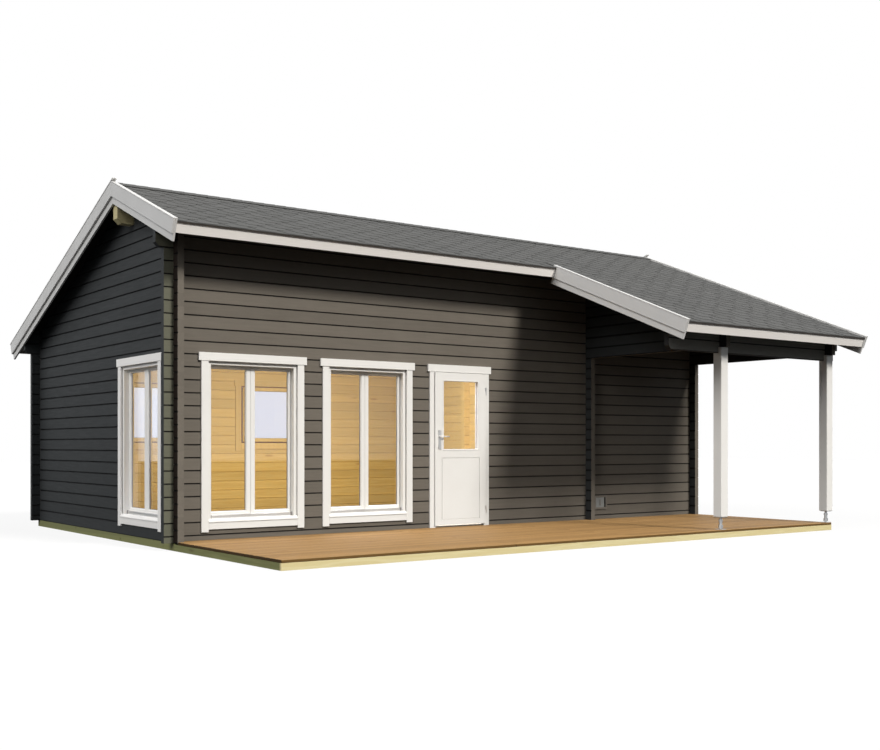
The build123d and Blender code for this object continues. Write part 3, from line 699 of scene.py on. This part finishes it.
porchStart = highLength - roof["porchStart"]
roofBoards("roof_boards_front", "roof_front", -1,
           [(slabLeft, porchEnd, highLength), (porchEnd, porchSlab, porchStart + roof["overhang"]),
            (porchSlab, slabRight, eaveLength)])
roofBoards("roof_boards_back", "roof_back", 1, [(slabLeft, slabRight, eaveLength)])

# each stretch of roof: side of the ridge, left and right end, length down the slope
mainStretches = [(-1, slabLeft, porchEnd, highLength), (-1, porchSlab, slabRight, eaveLength),
                 (1, slabLeft, slabRight, eaveLength)]
porchStretch = (-1, porchEnd, porchSlab, porchStart)  # the narrow one beside the terrace roof's end board

felt = newShape()
for side, x0, x1, length in (mainStretches[0], porchStretch, *mainStretches[1:]):
    addBoard(felt, (x0, roof["feltStart"], -roof["feltBottom"]),
             (x1, length - roof["feltShort"], -roof["feltTop"]), roof["feltEdge"], slopeFrame(side))
makePiece("roof_felt", felt, darkMetal)

starters = newShape()
for side, x0, x1, length in mainStretches:
    inset = roof["starterInset"]
    start, end = length - roof["starter"], length - inset
    outline = [(end, -roof["starterTop"][0]), (end, -roof["stripTop"]), (start, -roof["stripTop"]),
               (start, -roof["starterTop"][1])]
    addPrism(starters, outline, x0 + inset, x1 - inset, slopeFrame(side) @ sideways)
makePiece("starter_strips", starters, shingleFelt)

shingles = newShape()
for side, x0, x1, length in (mainStretches[0], porchStretch, mainStretches[1]):
    addShingles(shingles, side, x0, x1, length, 0)
makePiece("shingles_front", shingles, shingleFelt)
shingles = newShape()
addShingles(shingles, *mainStretches[2], 0)
makePiece("shingles_back", shingles, shingleFelt)

caps = newShape()
width, thick = roof["capWidth"], roof["shingle"]
x = slabRight
while x > slabLeft + roof["shortestCap"]:
    far = max(x - roof["capLength"], slabLeft)
    points = []
    for end, lift in zip((x, far), roof["capLift"]):
        for side, reach in ((-1, width), (0, 0), (1, width)):
            for down in (0, thick):
                points.append((end, side * reach * slopeCos, ridgeTop + lift - reach * slopeSin - down))
    faces = [[0, 2, 8, 6], [2, 4, 10, 8], [1, 3, 9, 7], [3, 5, 11, 9], [0, 1, 7, 6], [4, 5, 11, 10],
             [0, 2, 3, 1], [2, 4, 5, 3], [6, 8, 9, 7], [8, 10, 11, 9]]
    addPart(caps, points, faces)
    x -= roof["capStep"]
makePiece("ridge_caps", caps, shingleFelt)

strips = newShape()
for side, x0, x1, length in mainStretches:
    end = length - slack
    start, inner = end - roof["stripReach"], end - roof["stripThickness"]
    top, under, lip = -roof["stripTop"], -roof["feltBottom"], -roof["lip"]
    outline = [(start, top), (end, top), (end, lip), (inner, lip), (inner, under), (start, under)]
    addPrism(strips, outline, x0, x1, slopeFrame(side) @ sideways)
makePiece("eaves_strips", strips, darkMetal)

# Boards at the roof's ends: an outer board, a deeper one behind it and a cap strip over both
barge = {"board": 0.022, "above": 0.006, "height": 0.145, "lower": 0.078, "lip": 0.004, "capWidth": 0.050,
         "capThickness": 0.012, "capOver": 0.070, "seam": 0.0008}


def slopeBoard(shape, side, ends, depths, start, length):
    # depths run square into the roof; without a start the board is mitred at the ridge
    first, last = (depth * build["roofFall"] if start is None else start for depth in depths)
    outline = [(first, -depths[0]), (length, -depths[0]), (length, -depths[1]), (last, -depths[1])]
    addPrism(shape, outline, *sorted(ends), slopeFrame(side) @ sideways)


def makeBarge(name, side, outer, inward, start, length):
    boards = newShape()
    top = -barge["above"]
    bottom = top + barge["height"]
    lip, seam = barge["lip"], barge["seam"]
    middle = outer + inward * (lip + barge["board"])
    inner = outer + inward * (lip + 2 * barge["board"])
    face = outer + inward * lip
    slopeBoard(boards, side, (face, middle - inward * seam), (top + seam, bottom), start, length)
    slopeBoard(boards, side, (middle, inner), (top + seam, bottom + barge["lower"]), start, length - slack)
    capStart = -barge["capOver"] if start is None and side > 0 else start
    slopeBoard(boards, side, (outer, outer + inward * barge["capWidth"]),
               (top - barge["capThickness"], top), capStart, length)
    piece = makePiece(name + "_boards", boards, bargePaint, ease=0.0015)
    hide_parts(name)


roofLeft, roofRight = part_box("barge_left_back")[0].x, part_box("barge_right_back")[1].x
for name, outer, way, length in (("left", roofLeft, 1, highLength), ("right", roofRight, -1, eaveLength)):
    makeBarge(f"barge_{name}_back", 1, outer, way, None, eaveLength)
    makeBarge(f"barge_{name}_front", -1, outer, way, None, length)
makeBarge("barge_porch", -1, porchEnd, 1, porchStart, eaveLength)
print("roof built")

# Windows: casing boards, a frame with a lip, sashes behind it, double panes and the rain rail's end caps
window = {
    "frame": 0.055, "frameSill": 0.042, "frameFront": 0.008, "cover": 0.020, "backGap": 0.0006,
    "casing": 0.082, "overlap": 0.018, "foot": 0.027, "apron": 0.074, "apronOverlap": 0.006,
    "head": 0.087, "headOverhang": 0.030, "headThickness": 0.026,
    "innerCasing": 0.092, "innerThickness": 0.016, "innerOverhang": 0.020,
    "stile": 0.055, "sashDepth": 0.046, "corner": 0.014, "meeting": 0.002, "bead": 0.010,
    "glass": 0.004, "glassEdge": 0.0003, "paneGap": 0.012, "spacer": 0.004,
    "railHeight": 0.038, "railDepth": 0.015, "railEdge": 0.001, "upstand": 0.012, "cap": 0.022,
    "capProud": 0.001,
    "dripReach": 0.027, "dripNose": 0.012, "dripEdge": 0.002, "dripInset": 0.0005,
    "shadeRing": 0.0004, "seam": 0.0004, "ease": 0.0015,
}
# how far each window is turned from facing the front
turns = {"front_window_1": 0, "front_window_2": 0, "back_window_1": 180, "back_window_2": 180,
         "gable_window": -90}


def windowPlace(name):
    # local x to the right and y into the cabin, with the wall's outer face on y = 0
    low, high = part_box(f"{name}_panes")
    middle = (low + high) / 2
    spots = {0: (middle.x, cabinFront, 0), 180: (middle.x, cabinBack, 0), -90: (cabinLeft, middle.y, 0)}
    place = Matrix.Translation(spots[turns[name]]) @ Matrix.Rotation(math.radians(turns[name]), 4, "Z")
    width = high.y - low.y if turns[name] == -90 else high.x - low.x
    return place, width / 2, low.z, high.z


def addCasing(shape, place, spans, headBottom, sill, faces, overhang):
    # spans are a side board's two edges, sill the sill board's levels, faces those of wall, boards and head
    inner, outer = spans
    wallFace, face, headFace = faces
    y0, y1 = sorted((wallFace, face))
    h0, h1 = sorted((wallFace, headFace))
    reach, seam = outer + overhang, window["seam"]
    addBoard(shape, (-reach, h0, headBottom), (reach, h1, headBottom + window["head"]), place=place)
    addBoard(shape, (-inner + seam, y0, sill[0]), (inner - seam, y1, sill[1]), place=place)
    for x0, x1 in ((-outer, -inner), (inner, outer)):
        addBoard(shape, (x0, y0, sill[0] - window["foot"]), (x1, y1, headBottom - seam), place=place)


def addSash(shapes, place, span, levels, widths, rounds):
    # one sash, painted outside and bare inside, round a double pane between the two levels
    sashes, linings, glass, spacers = shapes
    w = window
    front = build["logWidth"]
    middle, back = front + w["sashDepth"] / 2, front + w["sashDepth"]
    gap = w["paneGap"] / 2
    pane = gap + w["glass"]
    rect = (*span, levels[0] - w["stile"], levels[1] + w["stile"])
    profile = [(0, 0, front), (1, -w["bead"], front), (1, -0.001, middle - pane - 0.003),
               (1, 0, middle - pane - 0.002), (1, 0, middle), (0, 0, middle)]
    addMitred(sashes, rect, widths, profile, place, rounds)
    profile = [(0, 0, middle + 0.0002), (1, 0, middle + 0.0002), (1, 0, middle + pane + 0.002),
               (1, -0.003, back - 0.003), (1, -0.008, back), (0, 0.006, back), (0, 0.002, back - 0.002),
               (0, 0, back - 0.006)]
    addMitred(linings, rect, widths, profile, place, rounds)
    x0, x1 = span[0] + widths[0], span[1] - widths[1]
    for near in (middle - pane, middle + gap):
        addBoard(glass, (x0, near, levels[0]), (x1, near + w["glass"], levels[1]), w["glassEdge"], place)
    near, far = middle - gap, middle + gap
    profile = [(0, 0, near), (0, w["spacer"], near), (0, w["spacer"], far), (0, 0, far)]
    addMitred(spacers, (x0, x1, *levels), (0,) * 4, profile, place)


def makeWindow(name):
    place, glassEdge, paneLow, paneHigh = windowPlace(name)
    w = window
    inGable = turns[name] == -90
    # the gable window takes the white with painted light
    trimPaint = gableWhite if inGable else whiteAlongX
    wall, seam, ease = build["logWidth"], w["seam"], w["ease"]
    front, back = w["frameFront"], wall - w["backGap"]
    sashHalf, sashLow, sashHigh = glassEdge + w["stile"], paneLow - w["stile"], paneHigh + w["stile"]
    lipHalf, lipLow = sashHalf - w["cover"], sashLow + w["cover"] - w["railHeight"]
    half, low, high = lipHalf + w["frame"], lipLow - w["frameSill"], sashHigh - w["cover"] + w["frame"]
    inner, headBottom = half - w["overlap"], high - w["overlap"]

    casing = newShape()
    apron = low + w["apronOverlap"]
    addCasing(casing, place, (inner, inner + w["casing"]), headBottom, (apron - w["apron"], apron),
              (0, -build["casingThickness"], -w["headThickness"]), w["headOverhang"])
    casingPaint = gableWhite if inGable else whiteAlongZ
    piece = makePiece(f"{name}_outer_casing", casing, casingPaint)
    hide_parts(f"{name}_casing")
    casing = newShape()
    inside = wall + w["innerThickness"]
    board = sashLow - (headBottom - sashHigh)
    addCasing(casing, place, (inner, inner + w["innerCasing"]), headBottom,
              (board - w["innerCasing"], board), (wall, inside, inside), w["innerOverhang"])
    makePiece(f"{name}_inner_casing", casing, pineTrim)

    surround = newShape()
    profile = [(0, 0, front), (1, -ease, front), (1, 0, front + ease), (1, 0, back), (0, 0, back)]
    widths = (w["frame"], w["frame"], w["frameSill"], w["frame"])
    addMitred(surround, (-half, half, low, high), widths, profile, place)
    railFront, railTop = wall - w["upstand"], lipLow + w["railHeight"]
    addBoard(surround, (-lipHalf, railFront, lipLow - slack), (lipHalf, back, railTop), w["railEdge"], place)
    nose, noseTop, seat = -w["dripReach"], apron + w["dripNose"], lipLow - seam
    drip = [(nose, apron), (front, apron), (front, seat), (0, seat), (nose + w["dripEdge"] / 2, noseTop),
            (nose, noseTop - w["dripEdge"])]
    addPrism(surround, drip, -inner + w["dripInset"], inner - w["dripInset"], place @ sideways)
    piece = makePiece(f"{name}_surround", surround, trimPaint)
    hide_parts(f"{name}_frame")

    # painted shade: a thin brown ring at the bottom of the groove between the inner casing and the sash
    grooveShades = newShape()
    rim = inner - sashHalf
    near, far = wall - w["shadeRing"], wall + w["shadeRing"]
    profile = [(0, 0, near), (1, 0, near), (1, 0, far), (0, 0, far)]
    addMitred(grooveShades, (-inner, inner, sashLow - rim, sashHigh + rim), (rim,) * 4, profile, place)
    makePiece(f"{name}_seals", grooveShades, grooveShade)

    sashes, linings, glass, spacers = newShape(), newShape(), newShape(), newShape()
    spans = [(-sashHalf, sashHalf)]
    if not name.startswith("back"):
        spans = [(-sashHalf, -w["meeting"]), (w["meeting"], sashHalf)]
    for x0, x1 in spans:
        atLeft, atRight = x0 == -sashHalf, x1 == sashHalf
        widths = [w["stile"] - (0 if outer else w["meeting"]) for outer in (atLeft, atRight, True, True)]
        rounds = [w["corner"] if outer else ease for outer in (atLeft, atRight, atRight, atLeft)]
        addSash((sashes, linings, glass, spacers), place, (x0, x1), (paneLow, paneHigh), widths, rounds)
    makePiece(f"{name}_sashes", sashes, trimPaint)
    makePiece(f"{name}_linings", linings, pineTrim)
    piece = makePiece(f"{name}_glass", glass, glassPane)
    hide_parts(f"{name}_panes")
    makePiece(f"{name}_spacers", spacers, spacerMetal)

    caps = newShape()
    proud = w["capProud"]
    for x0, x1 in ((-lipHalf, -lipHalf + w["cap"]), (lipHalf - w["cap"], lipHalf)):
        addBoard(caps, (x0, railFront - w["railDepth"] - proud, lipLow), (x1, railFront, railTop + proud),
                 place=place)
    makePiece(f"{name}_rail_caps", caps, capPlastic)


for name in turns:
    makeWindow(name)
print("windows built")

# Door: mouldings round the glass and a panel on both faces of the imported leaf, and a double pane
door = {"lockRail": 0.096, "bottomRail": 0.064, "bead": 0.014, "glass": 0.004, "glassEdge": 0.0003,
        "paneGap": 0.012, "groove": 0.006, "panelInset": 0.103, "panelDepth": 0.006, "panelSunk": 0.0004}
leafLow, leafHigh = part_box("door_leaf")
paneLow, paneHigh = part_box("door_pane")
paneMiddle = (paneLow.y + paneHigh.y) / 2
leafFaces = ((leafLow.y, -1), (leafHigh.y, 1))

trim = newShape()
bead, inset = door["bead"], door["panelInset"]
for face, way in leafFaces:
    toGlass = paneMiddle + way * (door["paneGap"] / 2 + door["glass"])
    profile = [(0, -bead * 0.4, face), (0, -bead * 0.4, face + way * 0.003), (0, 0, face + way * 0.005),
               (0, bead * 0.55, face + way * 0.001), (0, bead * 0.6, toGlass), (0, 0, toGlass)]
    addMitred(trim, (paneLow.x, paneHigh.x, paneLow.z, paneHigh.z), (0,) * 4, profile)
for face, way in leafFaces:
    y0, y1 = sorted((face - way * door["panelDepth"], face - way * door["panelSunk"]))
    addBoard(trim, (leafLow.x + inset, y0, leafLow.z + door["bottomRail"] + door["groove"]),
             (leafHigh.x - inset, y1, paneLow.z - door["lockRail"] - door["groove"]))
makePiece("door_mouldings", trim, whiteAlongZ, "door")

glass = newShape()
for depth in (-door["paneGap"] / 2 - door["glass"], door["paneGap"] / 2):
    near = paneMiddle + depth
    addBoard(glass, (paneLow.x, near, paneLow.z), (paneHigh.x, near + door["glass"], paneHigh.z),
             door["glassEdge"])
piece = makePiece("door_glass", glass, glassPane, "door")
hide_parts("door_pane")

# Lever: a bent bar on each face, tapering to its tip
lever = {"radius": 0.0088, "bend": 0.024, "tip": 0.007, "spindle": 0.009, "plate": 0.0062, "inset": 0.002,
         "bow": 0.006, "steps": 6, "sides": 16}
leverLow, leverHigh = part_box("door_lever")
spindleX, leverZ = leverLow.x + lever["spindle"], (leverLow.z + leverHigh.z) / 2
grips = newShape()
for face, tip, way in ((leafLow.y, leverLow.y, -1), (leafHigh.y, leverHigh.y, 1)):
    line = tip - way * lever["radius"]
    bent = spindleX + lever["bend"]
    path = [(spindleX, face + way * lever["plate"], leverZ), (spindleX, line - way * lever["bend"], leverZ)]
    for step in range(1, lever["steps"] + 1):
        angle = math.radians(90 * step / lever["steps"])
        path.append((spindleX + lever["bend"] * (1 - math.cos(angle)),
                     line - way * lever["bend"] * (1 - math.sin(angle)), leverZ))
    radii = [lever["radius"]] * len(path)
    for step in range(1, lever["steps"] + 1):
        share = step / lever["steps"]
        path.append((bent + share * (leverHigh.x - lever["inset"] - bent),
                     line - way * lever["bow"] * share * share, leverZ))
        radii.append(lever["radius"] + (lever["tip"] - lever["radius"]) * share)
    addTube(grips, path, radii, lever["sides"])
piece = makePiece("lever_grips", grips, satinSteel, "lever", smooth=True)
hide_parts("door_lever")
print("door built")

# Terrace deck and floor: boards with gaps, and screws over the joists
deck = {"pitch": 0.100, "gap": 0.006, "edge": 0.003, "buttHalf": 0.001, "shortest": 0.05,
        "endClear": 0.01, "wholeUnder": 1,
        "screw": 0.0045, "screwHeight": 0.0008, "screwInset": 0.018, "screwSunk": 0.0004,
        "logEnd": 0.105, "notch": 0.002, "joistWidth": 0.045, "joistCount": 10,
        "floorPitch": 0.096, "floorGap": 0.0003, "floorEdge": 0.0015}
deckLow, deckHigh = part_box("terrace_deck")
partLow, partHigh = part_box("partition_wall")
wall, notch = build["logWidth"], deck["notch"]
wallLines = [(cabinLeft, cabinLeft + wall), (partLow.x, partHigh.x), (cabinRight - wall, cabinRight)]
joistStep = (cabinRight - cabinLeft - deck["joistWidth"]) / (deck["joistCount"] - 1)
joistLines = [cabinLeft + k * joistStep + deck["joistWidth"] / 2 for k in range(deck["joistCount"])]
boards, screws = newShape(), newShape()
notchFront = cabinFront - deck["logEnd"] - notch
rows = round((notchFront - deckLow.y) / deck["pitch"])
pitch = (notchFront - deckLow.y) / rows
for row in range(rows + 1):
    y0 = deckLow.y + row * pitch
    y1 = y0 + pitch - deck["gap"] if row < rows else deckHigh.y
    spans = [(cabinLeft, cabinRight)]
    if row == rows:  # the last row is cut round the log ends
        stops = [cabinLeft, *(x for a, b in wallLines for x in (a - notch, b + notch)), cabinRight]
        spans = [(a, b) for a, b in zip(stops[::2], stops[1::2]) if b - a > deck["shortest"]]
    joint = joistLines[3 + 2 * (row % 2)]
    for x0, x1 in spans:
        pieces = [(x0, x1)]
        if x0 < joint - deck["wholeUnder"] and x1 > joint + deck["wholeUnder"]:
            pieces = [(x0, joint - deck["buttHalf"]), (joint + deck["buttHalf"], x1)]
        for a, b in pieces:
            addBoard(boards, (a, y0, deckLow.z), (b, y1, deckHigh.z), deck["edge"])
    for x in joistLines:
        if any(a + deck["endClear"] < x < b - deck["endClear"] for a, b in spans):
            for y in (y0 + deck["screwInset"], y1 - deck["screwInset"]):
                centre = (x, y, deckHigh.z - deck["screwSunk"])
                addScrewHead(screws, centre, deck["screw"], deck["screwHeight"])
piece = makePiece("terrace_boards", boards, deckWood)
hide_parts("terrace_deck")
makePiece("terrace_screws", screws, screwMetal)

floorLow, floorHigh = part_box("floor")
crossLow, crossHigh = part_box("cross_wall")
boards = newShape()
rooms = [(cabinLeft + wall, partLow.x, cabinFront + wall, cabinBack - wall),
         (partHigh.x, cabinRight - wall, cabinFront + wall, crossLow.y),
         (partHigh.x, cabinRight - wall, crossHigh.y, cabinBack - wall)]
for x0, x1, y0, y1 in rooms:
    rows = round((y1 - y0) / deck["floorPitch"])
    pitch = (y1 - y0) / rows
    for row in range(rows):
        a, b = y0 + row * pitch, y0 + (row + 1) * pitch
        end = x1
        if x1 == partLow.x and b > crossLow.y - notch and a < crossHigh.y + notch:
            end = x1 - deck["logEnd"] - notch  # short of the cross wall's log ends
        addBoard(boards, (x0, a + deck["floorGap"], floorLow.z), (end, b - deck["floorGap"], floorHigh.z),
                 deck["floorEdge"])
piece = makePiece("floor_boards", boards, floorWood)
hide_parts("floor")
print("deck and floor laid")

# Terrace posts, notched for the beam
post = {"edge": 0.004, "lap": 0.01}
posts = newShape()
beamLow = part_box("front_beam")[0]
for number in (1, 2):
    low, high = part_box(f"post_{number}")
    addBoard(posts, (low.x, low.y, low.z), (high.x, high.y, beamLow.z), post["edge"])
    addBoard(posts, (low.x, low.y, beamLow.z - post["lap"]), (high.x, beamLow.y, high.z), post["edge"])
piece = makePiece("posts", posts, whiteAlongZ)
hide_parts("post_1", "post_2")
print("posts set")

# Camera at the photograph's place, level, with the horizon at eye height
eye = {"place": (-8.70, -12.119, 1.0925), "turn": -36.51, "lens": 46.285, "rise": 0.0793}
lens = bpy.data.cameras.new("camera")
lens.sensor_width = 36
lens.lens = eye["lens"]
lens.shift_y = eye["rise"]
lens.clip_end = 200
camera = newObject("camera", lens)
camera.location = eye["place"]
camera.rotation_euler = (math.radians(90), 0, math.radians(eye["turn"]))
scene.camera = camera

# Light: a warm sun from the front, a fill from the upper left, a dim sky and a soft lamp in the room
light = {
    "sunStrength": 3.55, "sunColour": (1.0, 0.965, 0.91), "sunAngle": 13, "sunTravel": (-0.25, 1.0, -0.80),
    "fillStrength": 1.92, "fillColour": (1.0, 0.975, 0.95), "fillAngle": 40,
    "fillTravel": (0.8, 0.15, -0.6),
    "skyLow": 0.01, "skyHigh": 0.46, "skyTop": 0.42, "skyColour": (0.92, 0.96, 1.0), "skyMirrored": 1.05,
    "room": 234, "roomColour": (1.0, 0.97, 0.92), "roomSize": (3.4, 1.7), "roomPlace": (-0.8, -0.05, 2.9),
}
for name in ("sun", "fill"):
    lamp = bpy.data.lights.new(name, "SUN")
    lamp.energy = light[name + "Strength"]
    lamp.color = light[name + "Colour"]
    lamp.angle = math.radians(light[name + "Angle"])
    travel = Vector(light[name + "Travel"])
    newObject(name, lamp).rotation_euler = travel.to_track_quat("-Z", "Y").to_euler()
lamp = bpy.data.lights.new("room_light", "AREA")
lamp.shape = "RECTANGLE"
lamp.size, lamp.size_y = light["roomSize"]
lamp.energy = light["room"]
lamp.color = light["roomColour"]
newObject("room_light", lamp).location = light["roomPlace"]


def backgroundRays(tree):
    # rays that show the background itself: straight or through glass, and mirrored
    rays = put(tree, "LightPath").outputs
    straight = calc(tree, "MAXIMUM", rays["Is Camera Ray"], rays["Is Transmission Ray"])
    mirrored = calc(tree, "*", rays["Is Glossy Ray"], calc(tree, "-", 1.0, straight))
    return straight, mirrored


world = bpy.data.worlds.new("studio")
scene.world = world
world.use_nodes = True
tree = world.node_tree
tree.nodes.clear()
straight, mirrored = backgroundRays(tree)
height = directions(tree, "TexCoord", "Generated")[2]
# dimmer towards the horizon
shade = scaled(tree, height, 0, light["skyTop"], light["skyLow"], light["skyHigh"])
glow = put(tree, "Background", {"Color": (*light["skyColour"], 1), "Strength": shade})
plain = put(tree, "Background", {"Color": (1, 1, 1, 1), "Strength": 1.0})
mirror = put(tree, "Background", {"Color": (*light["skyColour"], 1), "Strength": light["skyMirrored"]})
mixed = put(tree, "MixShader", {0: mirrored, 1: glow, 2: mirror})
mixed = put(tree, "MixShader", {0: straight, 1: mixed, 2: plain})
put(tree, "OutputWorld", {"Surface": mixed})

# The white floor takes the cabin's shadow; what it gives back to the cabin is that of plain grey ground
studio = {"reach": 60, "level": -0.001, "seen": 0.86, "mirrored": 0.10, "bounce": 0.05, "white": 0.80}
mesh = bpy.data.meshes.new("ground")
corners = [(a * studio["reach"], b * studio["reach"], studio["level"]) for a, b in
           ((-1, -1), (1, -1), (1, 1), (-1, 1))]
mesh.from_pydata(corners, [], [[0, 1, 2, 3]])
floorPiece = newObject("ground", mesh)
material, tree = newMaterial("ground_white")
straight, mirrored = backgroundRays(tree)
tone = scaled(tree, straight, 0, 1, studio["bounce"], studio["white"])
matte = put(tree, "BsdfDiffuse", {"Color": grey(tree, tone)})
strength = scaled(tree, mirrored, 0, 1, 1.0, studio["mirrored"])
shine = put(tree, "Emission", {"Color": rgb(1, 1, 1), "Strength": strength})
share = calc(tree, "MAXIMUM", calc(tree, "*", straight, studio["seen"]), mirrored)
mixed = put(tree, "MixShader", {0: share, 1: matte, 2: shine})
put(tree, "OutputMaterial", {"Surface": mixed})
floorPiece.data.materials.append(material)

scene.view_settings.view_transform = "Standard"
print("camera, lamps and floor set")
